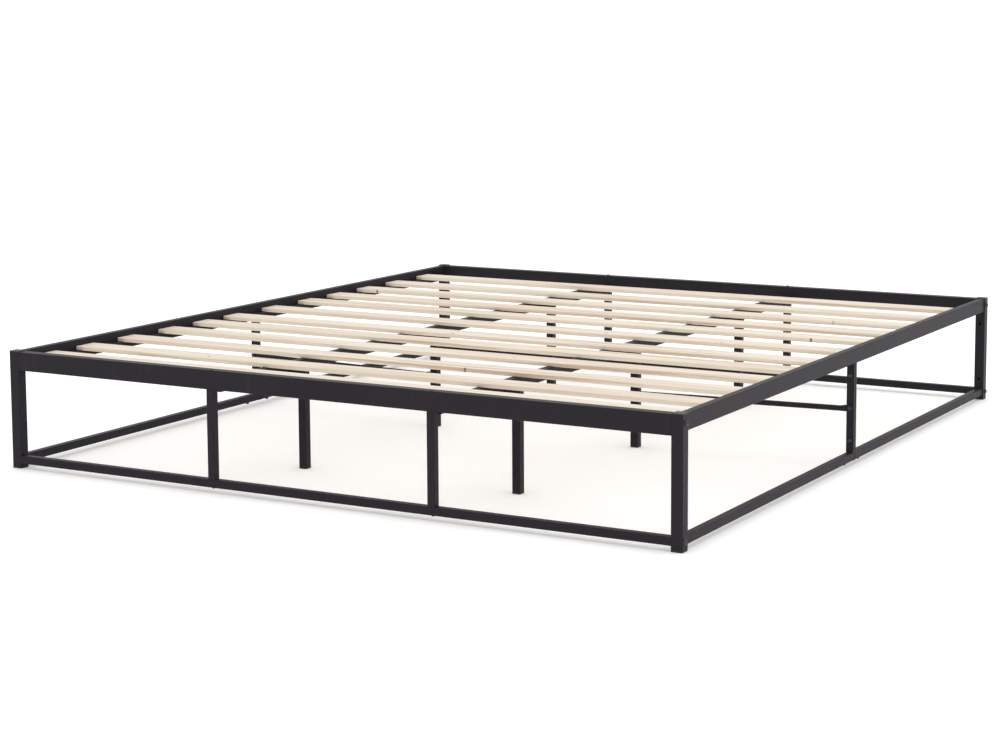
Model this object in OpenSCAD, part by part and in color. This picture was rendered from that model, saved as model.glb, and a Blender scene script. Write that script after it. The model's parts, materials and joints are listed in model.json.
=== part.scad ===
// Metal bed frame with a slatted deck: two end frames, two side frames in two
// halves each, two centre bars on six legs, and twelve pine slats.
// Millimetres, +Z up, +Y towards the head end, +X to the right-hand side.
// The origin lies on the floor, below the middle of the frame.

/* [Overall] */
// Width over the corner legs
bed_w = 1860; // [1400:10:2000]
// Length over the corner legs
bed_l = 2108; // [1900:2:2200]
// Height to the top of the leg caps
bed_h = 300; // [270:5:400]

/* [Tubes] */
// Side of a corner leg's square tube
leg_s = 28; // [26:1:34]
// Side of a centre leg's square tube
center_leg_s = 22; // [20:1:26]
// Height of the foot and head rails
end_rail_h = 47; // [42:1:55]
// Height of a side rail
side_rail_h = 38; // [34:1:44]
// Side of the square tube of stretchers and posts
frame_s = 20; // [18:1:22]
// Height of a centre bar
bar_h = 28; // [24:1:32]
// Diameter of a round side brace
brace_d = 14; // [10:1:16]
// Wall of every tube
wall = 1.5; // [1.2:0.1:2]
// Outside corner radius of every tube
tube_r = 2; // [1.6:0.1:3]

/* [Heights] */
// Top of all the rails
rail_top = 297.5; // [265:0.5:390]
// Underside of the stretchers
stretcher_z = 13; // [8:1:30]
// Top of the slats
slat_top = 282; // [255:1:370]

/* [Slats] */
// Number of slats
slat_n = 12; // [12]
// Width of a slat
slat_w = 70; // [60:1:75]
// Thickness of a slat
slat_t = 10.5; // [9:0.5:14]
// Distance from one slat to the next
slat_pitch = 165; // [155:1:167]
// Clearance between a slat's end and the side rail
slat_end_gap = 2; // [1:0.5:6]

/* [Layout] */
// Distance from the middle of the bed to a centre bar
bar_x = 307; // [250:1:350]
// Where the two halves of each side frame meet
seam_y = -24; // [-60:1:20]
// Where the two halves of each centre bar meet
bar_seam_y = 0; // [-10:1:10]
// Rows of centre legs, at the foot end, the middle and the head end
leg_row_foot = -709; // [-800:1:-500]
leg_row_middle = -75; // [-90:1:-75]
leg_row_head = 598; // [450:1:750]

/* [Hardware] */
// Height of the two headboard holes in each head leg
headboard_low_z = 61; // [45:1:90]
headboard_high_z = 224; // [180:1:240]
// Radius of a headboard hole
headboard_r = 4.2; // [3:0.1:5]

/* [Hidden] */
SLATS = [for (i = [1:slat_n]) str("slat_", i < 10 ? "0" : "", i)];

$fn = 32;
STEEL = [0.17, 0.16, 0.18];
PLASTIC = [0.08, 0.08, 0.09];
ZINC = [0.22, 0.22, 0.24];
PINE = [0.91, 0.82, 0.69];

eps = 0.5;                  // how far a cutter runs past a face
LEFT = -1;
RIGHT = 1;
FOOT = -1;
HEAD = 1;

// Outer planes
out_x = bed_w / 2;
out_y = bed_l / 2;
face_gap = 0.5;             // rails and stretchers stand back from the leg faces
cap_t = 2.5;                // head of a leg cap
glide_t = 3;                // head of a floor glide
leg_top = bed_h - cap_t;
leg_len = leg_top - glide_t;

// End rails are as deep as the legs, side rails as deep as the thin tube
end_d = leg_s;
end_face = out_y - face_gap;
end_in = end_face - end_d;
side_face = out_x - 3;       // side rails stand back a little more
side_in = side_face - frame_s;
end_rail_z = rail_top - end_rail_h;
side_rail_z = rail_top - side_rail_h;
stretcher_top = stretcher_z + frame_s;
stretcher_mid = stretcher_z + frame_s / 2;

// Slat deck and what carries it
slat_z = slat_top - slat_t;
slat_len = 2 * (side_in - slat_end_gap);
slat_set = 47.5;            // the whole deck lies this much closer to the foot rail
slat_first = -slat_pitch * (slat_n - 1) / 2 - slat_set;
// How far each loose slat has slid from its even place, from the foot end
slat_slide = [12, -4, -2, 5, -6, -30, -9, 9, -2, -1, 0, 22];
ledge_w = 22;
ledge_drop = 21;
ledge_t = 2;
ledge_cut = 30;             // the angle stops short of the end rail
bar_w = frame_s;
bar_z = slat_z - bar_h;

// Centre legs stand beside the right-hand face of their bar, on a channel bracket
bracket_d = 12;
bracket_t = 2;
leg_off = bar_w / 2 + bracket_d + center_leg_s / 2;
center_leg_top = slat_z - 4;
side_x = side_face - frame_s / 2;
side_post_d = 10;
post_front = seam_y - side_post_d;
side_post_bolt_zs = [63, 146, 229];
brace_z = side_post_bolt_zs[1];

// Hardware sizes: M8 at the corners, M6 everywhere else
m8_r = 4;
m6_r = 3;
slack = 0.2;                // room between a bolt and its hole
plate_t = 3;
// Corner bolts as [distance from the middle, height]: low into the stretcher, high into the rail
corner_bolts_at = [[end_face - frame_s / 2, stretcher_mid],
                   [end_face - end_d / 2, side_rail_z + side_rail_h / 2]];
sleeve_gap = 0.25;
sleeve_len = 120;
joint_bolt_off = 48;
tall_head = 6;
// Bolts from below as [distance from the middle, underside, seam, thickness to the nut]
seams_at = [[side_x, stretcher_z, seam_y, wall],
            [bar_x, bar_z, bar_seam_y, 2 * wall + sleeve_gap]];
hanger_len = 34;
hanger_t = 2;

// ---- Shared shapes ----

// Outline of a tube with round corners
module round_rect(w, h, r) {
    square([w - 2 * r, h], center = true);
    square([w, h - 2 * r], center = true);
    for (x = [-1, 1], y = [-1, 1])
        translate([x * (w / 2 - r), y * (h / 2 - r)])
            circle(r);
}

// Hollow tube of w by h, standing on the XY plane
module tube_up(w, h, len, t = wall, r = tube_r) {
    linear_extrude(len)
        difference() {
            round_rect(w, h, r);
            square([w - 2 * t, h - 2 * t], center = true);
        }
}

// Tube along Y from y0 to y1, w wide, h high, with its underside at z0
module tube_y(x, y0, y1, z0, w, h, t = wall, r = tube_r) {
    translate([x, y1, z0 + h / 2])
        rotate([90, 0, 0])
            tube_up(w, h, y1 - y0, t, r);
}

// Tube along X from x0 to x1, d deep, h high, with its underside at z0
module tube_x(x0, x1, y, z0, d, h) {
    translate([x0, y, z0 + h / 2])
        rotate([0, 90, 0])
            tube_up(h, d, x1 - x0);
}

// Block given by its lowest and highest corners
module block(a, b) {
    translate(a)
        cube(b - a);
}

// Round cutters or shanks that start at p and run along an axis
module rod_x(p, r, len) {
    translate(p)
        rotate([0, 90, 0])
            cylinder(r = r, h = len);
}
module rod_y(p, r, len) {
    translate(p)
        rotate([-90, 0, 0])
            cylinder(r = r, h = len);
}
module rod_z(p, r, len) {
    translate(p)
        cylinder(r = r, h = len);
}

// Button-head bolt: head above z = 0, shank below, with a hex socket
module bolt(r, len, head_h = 0) {
    head_r = r * 1.75;
    head_h = head_h > 0 ? head_h : r * 1.1;
    difference() {
        union() {
            cylinder(r = head_r, h = head_h * 0.5);
            translate([0, 0, head_h * 0.5])
                cylinder(r1 = head_r, r2 = head_r * 0.62, h = head_h * 0.5);
        }
        translate([0, 0, head_h * 0.45])
            cylinder(r = r * 0.72, h = head_h, $fn = 6);
    }
    translate([0, 0, -len])
        cylinder(r = r, h = len);
}

// Hex nut with its bore, lying on z = 0
module nut(r) {
    difference() {
        cylinder(r = r * 1.9, h = r * 1.6, $fn = 6);
        translate([0, 0, -eps])
            cylinder(r = r + slack / 2, h = r * 1.6 + 2 * eps);
    }
}

// ---- Corner legs ----

module corner_leg(sx, sy) {
    color(STEEL)
        difference() {
            translate([sx * (out_x - leg_s / 2), sy * (out_y - leg_s / 2), glide_t])
                tube_up(leg_s, leg_s, leg_len);
            for (at = corner_bolts_at)
                rod_x([sx * (out_x - leg_s / 2) - leg_s, sy * at[0], at[1]],
                      m8_r + slack, 2 * leg_s);
            if (sy == HEAD)
                for (z = [headboard_low_z, headboard_high_z])
                    rod_y([sx * (out_x - leg_s / 2), out_y - 1.5 * leg_s, z],
                          headboard_r, 2 * leg_s);
        }
}

// Plug with a head as wide as the tube; the plug points up or down
module tube_plug(s, head, depth) {
    linear_extrude(head)
        round_rect(s, s, tube_r);
    plug = s - 2 * wall - 2 * slack;
    translate([-plug / 2, -plug / 2, head])
        cube([plug, plug, depth]);
}

module leg_top_caps() {
    color(PLASTIC)
        for (sx = [LEFT, RIGHT], sy = [FOOT, HEAD])
            translate([sx * (out_x - leg_s / 2), sy * (out_y - leg_s / 2), bed_h])
                mirror([0, 0, 1])
                    tube_plug(leg_s, cap_t, 8);
}

module floor_glides() {
    color(PLASTIC) {
        for (sx = [LEFT, RIGHT], sy = [FOOT, HEAD])
            translate([sx * (out_x - leg_s / 2), sy * (out_y - leg_s / 2), 0])
                tube_plug(leg_s, glide_t, 8);
        for (sx = [LEFT, RIGHT], y = [leg_row_foot, leg_row_middle, leg_row_head])
            translate([sx * bar_x + leg_off, y, 0])
                tube_plug(center_leg_s, glide_t, 8);
    }
}

// ---- Foot and head frames ----

module end_rail(sy) {
    color(STEEL)
        difference() {
            tube_x(-(out_x - leg_s), out_x - leg_s, sy * (end_face - end_d / 2),
                   end_rail_z, end_d, end_rail_h);
            for (sx = [LEFT, RIGHT])
                rod_z([sx * bar_x, sy * (end_face - frame_s / 2), end_rail_z - eps],
                      m6_r + slack, end_rail_h + 2 * eps);
        }
}

module end_stretcher(sy) {
    color(STEEL)
        difference() {
            tube_x(-(out_x - leg_s), out_x - leg_s, sy * (end_face - frame_s / 2),
                   stretcher_z, frame_s, frame_s);
            for (sx = [LEFT, RIGHT])
                rod_z([sx * bar_x, sy * (end_face - frame_s / 2), stretcher_z - eps],
                      m6_r + slack, frame_s + 2 * eps);
        }
}

module end_post(sx, sy) {
    color(STEEL)
        translate([sx * bar_x, sy * (end_face - frame_s / 2), stretcher_top])
            tube_up(frame_s, frame_s, end_rail_z - stretcher_top);
}

// ---- Side frames ----

// From the leg to the seam on each half
function half_from(sy) = sy == FOOT ? -(out_y - leg_s) : seam_y;
function half_to(sy) = sy == FOOT ? seam_y : out_y - leg_s;

module side_rail(sx, sy) {
    color(STEEL)
        tube_y(sx * side_x, half_from(sy), half_to(sy), side_rail_z, frame_s, side_rail_h);
}

// Steel angles welded inside the side rails; the slat ends lie on them
module slat_ledges() {
    color(STEEL)
        for (sx = [LEFT, RIGHT], sy = [FOOT, HEAD])
            mirror([sx == LEFT ? 1 : 0, 0, 0])
                mirror([0, sy == FOOT ? 1 : 0, 0])
                    translate([side_in, out_y - leg_s - ledge_cut, slat_z])
                        rotate([90, 0, 0])
                            linear_extrude(out_y - leg_s - ledge_cut - sy * seam_y)
                                polygon([[0, 0], [-ledge_w, 0], [-ledge_w, -ledge_t],
                                         [-ledge_t, -ledge_t], [-ledge_t, -ledge_drop],
                                         [0, -ledge_drop]]);
}

// The stretcher halves stop at the side posts
module side_stretcher(sx, sy) {
    from = half_from(sy) + (sy == HEAD ? side_post_d : 0);
    to = half_to(sy) - (sy == FOOT ? side_post_d : 0);
    color(STEEL)
        difference() {
            tube_y(sx * side_x, from, to, stretcher_z, frame_s, frame_s);
            rod_z([sx * side_x, seam_y + sy * joint_bolt_off, stretcher_z - eps],
                  m6_r + slack, 2 * wall);
        }
}

// Two flat posts stand back to back at the seam, one for each half
module side_post(sx, sy) {
    color(STEEL)
        difference() {
            translate([sx * side_x, seam_y + sy * side_post_d / 2, stretcher_z])
                tube_up(frame_s, side_post_d, side_rail_z - stretcher_z);
            for (z = side_post_bolt_zs)
                rod_y([sx * side_x, seam_y - side_post_d - eps, z],
                      m6_r + slack, 2 * side_post_d + 2 * eps);
        }
}

// Drilled plates welded inside the ends of the end rails, stretchers and posts
module end_plates() {
    widths = [frame_s - 2 * wall, end_d - 2 * wall];
    heights = [frame_s - 2 * wall, end_rail_h - 2 * wall];
    middles = [stretcher_mid, end_rail_z + end_rail_h / 2];
    color(STEEL)
        for (sx = [LEFT, RIGHT], sy = [FOOT, HEAD], i = [0, 1])
            difference() {
                translate([sx * (out_x - leg_s - plate_t / 2), sy * corner_bolts_at[i][0],
                           middles[i]])
                    cube([plate_t, widths[i], heights[i]], center = true);
                rod_x([sx * (out_x - leg_s) - 2 * plate_t, sy * corner_bolts_at[i][0],
                       corner_bolts_at[i][1]], m8_r + slack, 4 * plate_t);
            }
    color(STEEL)
        for (sx = [LEFT, RIGHT], sy = [FOOT, HEAD], z = [stretcher_top, end_rail_z - plate_t])
            translate([sx * bar_x, sy * (end_face - frame_s / 2), z])
                difference() {
                    translate([-widths[0] / 2, -widths[0] / 2, 0])
                        cube([widths[0], widths[0], plate_t]);
                    rod_z([0, 0, -eps], m6_r + slack, plate_t + 2 * eps);
                }
}

// Sleeves inside the tubes at the seams; those of the bars are bolted from below
module sleeve(x, y, z0, w, h, bolted) {
    inset = wall + sleeve_gap;
    difference() {
        tube_y(x, y - sleeve_len / 2, y + sleeve_len / 2, z0 + inset,
               w - 2 * inset, h - 2 * inset);
        if (bolted)
            for (sy = [FOOT, HEAD])
                rod_z([x, y + sy * joint_bolt_off, z0], m6_r + slack, 2 * inset + wall);
    }
}

module joint_sleeves() {
    color(STEEL)
        for (sx = [LEFT, RIGHT]) {
            sleeve(sx * side_x, seam_y, side_rail_z, frame_s, side_rail_h, false);
            sleeve(sx * bar_x, bar_seam_y, bar_z, bar_w, bar_h, true);
        }
}

// ---- Centre bars, legs and braces ----

function bar_from(sy) = sy == FOOT ? -end_in : bar_seam_y;
function bar_to(sy) = sy == FOOT ? bar_seam_y : end_in;
function rows_of(sy) = sy == FOOT ? [leg_row_foot, leg_row_middle] : [leg_row_head];

module center_bar(sx, sy) {
    color(STEEL)
        difference() {
            tube_y(sx * bar_x, bar_from(sy), bar_to(sy), bar_z, bar_w, bar_h);
            rod_z([sx * bar_x, bar_seam_y + sy * joint_bolt_off, bar_z - eps],
                  m6_r + slack, 2 * wall);
            for (y = rows_of(sy))
                rod_x([sx * bar_x - bar_w, y, bar_z + bar_h / 2], m6_r + slack, 2 * bar_w);
        }
}

// U-shaped hangers on the end rails that hold the bar ends
module bar_hangers() {
    half = bar_w / 2 + slack;
    color(STEEL)
        for (sx = [LEFT, RIGHT], sy = [FOOT, HEAD])
            translate([sx * bar_x, 0, 0])
                mirror([0, sy == FOOT ? 1 : 0, 0])
                    difference() {
                        block([-half - hanger_t, end_in - hanger_len, bar_z - slack - hanger_t],
                              [half + hanger_t, end_in, slat_z - 2]);
                        block([-half, end_in - hanger_len - eps, bar_z - slack],
                              [half, end_in + eps, slat_z + eps]);
                    }
}

// Short channels between a bar and the top of each centre leg
module leg_brackets() {
    half = center_leg_s / 2;
    color(STEEL)
        for (sx = [LEFT, RIGHT], y = [leg_row_foot, leg_row_middle, leg_row_head])
            difference() {
                translate([sx * bar_x + bar_w / 2, y, bar_z])
                    linear_extrude(bar_h - 4)
                        polygon([[0, -half], [bracket_d, -half],
                                 [bracket_d, -half + bracket_t], [bracket_t, -half + bracket_t],
                                 [bracket_t, half - bracket_t], [bracket_d, half - bracket_t],
                                 [bracket_d, half], [0, half]]);
                rod_x([sx * bar_x, y, bar_z + bar_h / 2], m6_r + slack, bar_w);
            }
}

module center_leg(sx, y) {
    color(STEEL)
        difference() {
            translate([sx * bar_x + leg_off, y, glide_t])
                tube_up(center_leg_s, center_leg_s, center_leg_top - glide_t);
            rod_x([sx * bar_x, y, bar_z + bar_h / 2], m6_r + slack, 2 * leg_off);
            if (y == leg_row_middle)
                rod_y([sx * bar_x + leg_off, y - center_leg_s, brace_z],
                      m6_r + slack, 2 * center_leg_s);
        }
}

// Round brace from a side post to a middle leg, with flattened, drilled ends
module brace(sx) {
    flat_w = 17;
    flat_l = 26;
    post_x = sx * side_x;
    leg_x = sx * bar_x + leg_off;
    leg_y = leg_row_middle - center_leg_s / 2;
    toward = leg_x > post_x ? 1 : -1;
    rod_a = [post_x + toward * (flat_l - 14), post_front - brace_d / 2, brace_z];
    rod_b = [leg_x - toward * (flat_l - 14), leg_y - brace_d / 2, brace_z];
    run = rod_b - rod_a;
    color(STEEL)
        difference() {
            union() {
                brace_flat(post_x, toward, post_front, flat_w, flat_l);
                brace_flat(leg_x, -toward, leg_y, flat_w, flat_l);
                translate(rod_a)
                    rotate([0, 90, atan2(run[1], run[0])])
                        cylinder(d = brace_d, h = norm(run));
            }
            rod_y([post_x, post_front - 2 * plate_t, brace_z], m6_r + slack, 3 * plate_t);
            rod_y([leg_x, leg_y - 2 * plate_t, brace_z], m6_r + slack, 3 * plate_t);
        }
}

module brace_flat(x, toward, y, w, l) {
    x_end = x + toward * (l - 8);
    x_tip = x - toward * 8;
    block([min(x_end, x_tip), y - plate_t, brace_z - w / 2],
          [max(x_end, x_tip), y, brace_z + w / 2]);
}

// ---- Slats ----

module slat(i) {
    color(PINE)
        translate([-slat_len / 2, slat_first + i * slat_pitch + slat_slide[i], slat_z + slat_t / 2])
            rotate([0, 90, 0])
                linear_extrude(slat_len)
                    round_rect(slat_t, slat_w, 2);
}

// ---- Fasteners ----

module corner_bolts() {
    color(ZINC)
        for (sx = [LEFT, RIGHT], sy = [FOOT, HEAD], at = corner_bolts_at)
            translate([sx * out_x, sy * at[0], at[1]])
                rotate([0, sx * 90, 0])
                    bolt(m8_r, leg_s + plate_t + 8);
}

// Upright bolts of the end posts and level bolts of the side posts
module post_bolts() {
    color(ZINC)
        for (sx = [LEFT, RIGHT]) {
            for (sy = [FOOT, HEAD])
                translate([sx * bar_x, sy * (end_face - frame_s / 2), 0]) {
                    translate([0, 0, rail_top])
                        bolt(m6_r, end_rail_h + 12, bed_h - rail_top - slack / 2);
                    translate([0, 0, stretcher_z])
                        mirror([0, 0, 1])
                            bolt(m6_r, frame_s + 12);
                }
            for (z = side_post_bolt_zs) {
                under = z == brace_z ? plate_t : 0;
                translate([sx * side_x, post_front - under, z])
                    rotate([90, 0, 0])
                        bolt(m6_r, 2 * side_post_d + under + 6);
            }
        }
}

// Bolts with tall heads, from below into the side stretchers and the bar sleeves
module joint_bolts() {
    color(ZINC)
        for (sx = [LEFT, RIGHT], sy = [FOOT, HEAD], p = seams_at)
            translate([sx * p[0], p[2] + sy * joint_bolt_off, p[1]])
                mirror([0, 0, 1])
                    bolt(m6_r, 9, tall_head);
}

module center_leg_bolts() {
    color(ZINC)
        for (sx = [LEFT, RIGHT]) {
            for (y = [leg_row_foot, leg_row_middle, leg_row_head])
                translate([sx * bar_x - bar_w / 2, y, bar_z + bar_h / 2])
                    rotate([0, -90, 0])
                        bolt(m6_r, bar_w + bracket_d + center_leg_s + 6);
            translate([sx * bar_x + leg_off, leg_row_middle - center_leg_s / 2 - plate_t,
                       brace_z])
                rotate([90, 0, 0])
                    bolt(m6_r, center_leg_s + plate_t + 6);
        }
}

module hex_nuts() {
    color(ZINC)
        for (sx = [LEFT, RIGHT]) {
            for (sy = [FOOT, HEAD], at = corner_bolts_at)
                translate([sx * (out_x - leg_s - plate_t), sy * at[0], at[1]])
                    rotate([0, -sx * 90, 0])
                        nut(m8_r);
            for (sy = [FOOT, HEAD])
                translate([sx * bar_x, sy * (end_face - frame_s / 2), 0]) {
                    translate([0, 0, stretcher_top + plate_t])
                        nut(m6_r);
                    translate([0, 0, end_rail_z - plate_t - m6_r * 1.6])
                        nut(m6_r);
                }
            for (sy = [FOOT, HEAD], p = seams_at)
                translate([sx * p[0], p[2] + sy * joint_bolt_off, p[1] + p[3]])
                    nut(m6_r);
            for (z = side_post_bolt_zs)
                translate([sx * side_x, seam_y + side_post_d, z])
                    rotate([-90, 0, 0])
                        nut(m6_r);
            for (y = [leg_row_foot, leg_row_middle, leg_row_head])
                translate([sx * bar_x + leg_off + center_leg_s / 2, y, bar_z + bar_h / 2])
                    rotate([0, 90, 0])
                        nut(m6_r);
            translate([sx * bar_x + leg_off, leg_row_middle + center_leg_s / 2, brace_z])
                rotate([-90, 0, 0])
                    nut(m6_r);
        }
}

// ---- Nodes ----

corner_leg(LEFT, FOOT);  // leg_foot_left
corner_leg(RIGHT, FOOT);  // leg_foot_right
corner_leg(LEFT, HEAD);  // leg_head_left
corner_leg(RIGHT, HEAD);  // leg_head_right
leg_top_caps();
floor_glides();
end_rail(FOOT);  // foot_rail
end_rail(HEAD);  // head_rail
end_stretcher(FOOT);  // foot_stretcher
end_stretcher(HEAD);  // head_stretcher
end_post(LEFT, FOOT);  // foot_post_left
end_post(RIGHT, FOOT);  // foot_post_right
end_post(LEFT, HEAD);  // head_post_left
end_post(RIGHT, HEAD);  // head_post_right
side_rail(LEFT, FOOT);  // side_rail_left_foot
side_rail(LEFT, HEAD);  // side_rail_left_head
side_rail(RIGHT, FOOT);  // side_rail_right_foot
side_rail(RIGHT, HEAD);  // side_rail_right_head
side_stretcher(LEFT, FOOT);  // side_stretcher_left_foot
side_stretcher(LEFT, HEAD);  // side_stretcher_left_head
side_stretcher(RIGHT, FOOT);  // side_stretcher_right_foot
side_stretcher(RIGHT, HEAD);  // side_stretcher_right_head
side_post(LEFT, FOOT);  // side_post_left_foot
side_post(LEFT, HEAD);  // side_post_left_head
side_post(RIGHT, FOOT);  // side_post_right_foot
side_post(RIGHT, HEAD);  // side_post_right_head
slat_ledges();
center_bar(LEFT, FOOT);  // center_bar_left_foot
center_bar(LEFT, HEAD);  // center_bar_left_head
center_bar(RIGHT, FOOT);  // center_bar_right_foot
center_bar(RIGHT, HEAD);  // center_bar_right_head
brace(LEFT);  // brace_left
brace(RIGHT);  // brace_right
center_leg(LEFT, leg_row_foot);  // center_leg_left_foot
center_leg(LEFT, leg_row_middle);  // center_leg_left_middle
center_leg(LEFT, leg_row_head);  // center_leg_left_head
center_leg(RIGHT, leg_row_foot);  // center_leg_right_foot
center_leg(RIGHT, leg_row_middle);  // center_leg_right_middle
center_leg(RIGHT, leg_row_head);  // center_leg_right_head
leg_brackets();
bar_hangers();
joint_sleeves();
end_plates();
corner_bolts();
post_bolts();
joint_bolts();
center_leg_bolts();
hex_nuts();
for (i = [0:slat_n - 1])
    slat(i);
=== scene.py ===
import bpy
import bmesh
import json
import math
from mathutils import Matrix, Vector


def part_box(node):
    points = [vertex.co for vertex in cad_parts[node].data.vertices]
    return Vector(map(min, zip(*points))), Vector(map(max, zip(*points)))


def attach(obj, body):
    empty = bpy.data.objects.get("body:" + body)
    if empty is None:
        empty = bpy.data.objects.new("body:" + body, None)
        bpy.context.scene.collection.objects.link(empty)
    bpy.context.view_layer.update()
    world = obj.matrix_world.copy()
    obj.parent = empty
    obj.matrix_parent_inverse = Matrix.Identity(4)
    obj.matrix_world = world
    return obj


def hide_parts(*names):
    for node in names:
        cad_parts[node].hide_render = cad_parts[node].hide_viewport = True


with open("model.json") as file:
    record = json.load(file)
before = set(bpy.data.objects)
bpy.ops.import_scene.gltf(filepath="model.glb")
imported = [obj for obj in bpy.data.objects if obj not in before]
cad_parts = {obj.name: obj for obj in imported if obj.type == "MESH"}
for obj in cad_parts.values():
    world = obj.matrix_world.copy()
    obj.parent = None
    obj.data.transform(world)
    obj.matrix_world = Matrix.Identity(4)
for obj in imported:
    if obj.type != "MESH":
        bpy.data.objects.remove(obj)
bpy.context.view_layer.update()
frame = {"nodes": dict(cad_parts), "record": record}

ROOT = "root"

# Sizes in metres, as in the frame
LEG = 0.028                    # corner leg tube
INNER_LEG = 0.022              # centre leg tube
TUBE = 0.020                   # posts, stretchers and the thickness of side rails
CORNER = 0.002                 # corner radius of the tubes
SLAT_HALF = 0.035              # half the width of a slat
SLAT_EASE = 0.0018             # rounding of a slat's long edges
SLAT_WANDER = 0.0004           # how far a planed face may lie below its nominal place

CAP_HEAD = 0.0025              # head of a leg cap
GLIDE_HEAD = 0.003             # head of a floor glide
CAP_EASE = 0.0009              # eased rim of caps and glides
PLUG = 0.008                   # depth of their plugs
PLUG_ROOM = 0.0034             # how much smaller a plug is than its tube

PLATE = 0.003                  # thickness of the flattened brace ends
BRACE_R = 0.007                # radius of the round braces
BRACE_FLAT = 0.0085            # half the height of a flattened end
BRACE_TIP = 0.008              # from a brace's bolt to its rounded tip
BRACE_STRAIGHT = 0.008         # from the bolt to where the flat starts to turn round
BRACE_BLEND = 0.016            # length over which it turns round
BRACE_SIDES = 28
BRACE_HEIGHT = 0.146           # height of the braces, and of the middle bolt in a side post

M6, M8 = 0.003, 0.004          # bolt radii
LOW_HEAD = 0.727               # flatter heads, on top of the end rails
TALL_HEAD = 1.818              # taller heads, below the seams
SIDE_POST_BOLTS = (0.063, BRACE_HEIGHT, 0.229)
SEAM_BOLT_OFF = 0.048          # from a seam to the bolts on both sides of it
# Shank lengths
CORNER_SHANK = 0.039
RAIL_SHANK = 0.059
STRETCHER_SHANK = 0.032
SEAM_SHANK = 0.009
SIDE_POST_SHANK = 0.026
INNER_LEG_SHANK = 0.060
BRACE_SHANK = 0.031

SIDES = (-1, 1)
RING_POINTS = 24               # points round a bolt head

# Studio
FLOOR_REACH = 30.0             # half the side of the floor
SENSOR, LENS = 36.0, 79.458    # in millimetres
LENS_SHIFT = -0.0995
CAMERA_PLACE = (2.8544, -5.2071, 1.1506)
AZIMUTH, PITCH, ROLL = 29.6556, 6.946, -0.3131


# ---------------------------------------------------------------- node helpers

class Tree:
    """A small helper that adds and links nodes in one tree."""

    def __init__(self, tree):
        self.tree = tree

    def add(self, kind, inputs=None, **settings):
        node = self.tree.nodes.new(kind)
        for name, value in settings.items():
            setattr(node, name, value)
        for key, value in (inputs or {}).items():
            self.feed(value, node.inputs[key])
        return node

    def feed(self, value, socket):
        """Links a socket's value, or sets a plain one."""
        if isinstance(value, bpy.types.NodeSocket):
            self.tree.links.new(value, socket)
        else:
            socket.default_value = value

    def link(self, source, target):
        self.tree.links.new(source, target)

    def math(self, operation, a, b=0.0, clamp=False):
        return self.add("ShaderNodeMath", {0: a, 1: b}, operation=operation,
                        use_clamp=clamp).outputs[0]

    def scaled(self, value, factor, start):
        """start plus factor times value."""
        return self.add("ShaderNodeMath", {0: value, 1: factor, 2: start},
                        operation="MULTIPLY_ADD").outputs[0]

    def vector(self, operation, a, b=(0, 0, 0), scale=None):
        inputs = {0: a, 1: b} if operation != "SCALE" else {0: a, "Scale": scale}
        node = self.add("ShaderNodeVectorMath", inputs, operation=operation)
        value_out = operation in ("LENGTH", "DOT_PRODUCT", "DISTANCE")
        return node.outputs["Value" if value_out else "Vector"]

    def ramp(self, value, low, high, to_low=0.0, to_high=1.0):
        node = self.add("ShaderNodeMapRange", {
            "Value": value, "From Min": low, "From Max": high,
            "To Min": to_low, "To Max": to_high})
        node.interpolation_type = "SMOOTHSTEP"
        return node.outputs["Result"]

    def mix(self, factor, a, b, blend="MIX"):
        node = self.add("ShaderNodeMix", data_type="RGBA", blend_type=blend)
        for index, value in ((0, factor), (6, a), (7, b)):
            self.feed(value, node.inputs[index])
        return node.outputs[2]

    def noise(self, vector, scale, detail=3.0, roughness=0.5, distortion=0.0):
        return self.add("ShaderNodeTexNoise", {
            "Vector": vector, "Scale": scale, "Detail": detail,
            "Roughness": roughness, "Distortion": distortion}).outputs["Fac"]


def shader_group(name, inputs, outputs):
    """A new shader group with its sockets; returns the helper, its inputs and its output node."""
    tree = bpy.data.node_groups.new(name, "ShaderNodeTree")
    for socket, kind, value in inputs:
        made = tree.interface.new_socket(socket, in_out="INPUT", socket_type=kind)
        if value is not None:
            made.default_value = value
    for socket, kind in outputs:
        tree.interface.new_socket(socket, in_out="OUTPUT", socket_type=kind)
    helper = Tree(tree)
    return helper, helper.add("NodeGroupInput").outputs, helper.add("NodeGroupOutput")


FLOAT, VECTOR, COUNT = "NodeSocketFloat", "NodeSocketVector", "NodeSocketInt"
MATERIAL, OBJECT = "NodeSocketMaterial", "NodeSocketObject"


def make_fine_texture_group():
    """Sprayed or moulded skin: a fine dimpled height and a slow mottling."""
    t, given, out = shader_group("fine_surface_texture", [
        ("Position", VECTOR, None), ("Grain Scale", FLOAT, 900.0), ("Mottle Scale", FLOAT, 6.0),
    ], [("Height", FLOAT), ("Mottle", FLOAT)])
    grain = t.noise(given["Position"], given["Grain Scale"], 2.0, 0.6)
    pits = t.add("ShaderNodeTexVoronoi", {
        "Vector": given["Position"], "Scale": t.math("MULTIPLY", given["Grain Scale"], 0.55)})
    height = t.math("ADD", t.math("MULTIPLY", grain, 0.65),
                    t.math("MULTIPLY", pits.outputs["Distance"], 0.35))
    mottle = t.noise(given["Position"], given["Mottle Scale"], 5.0, 0.6)
    t.link(height, out.inputs["Height"])
    t.link(mottle, out.inputs["Mottle"])
    return t.tree


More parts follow.
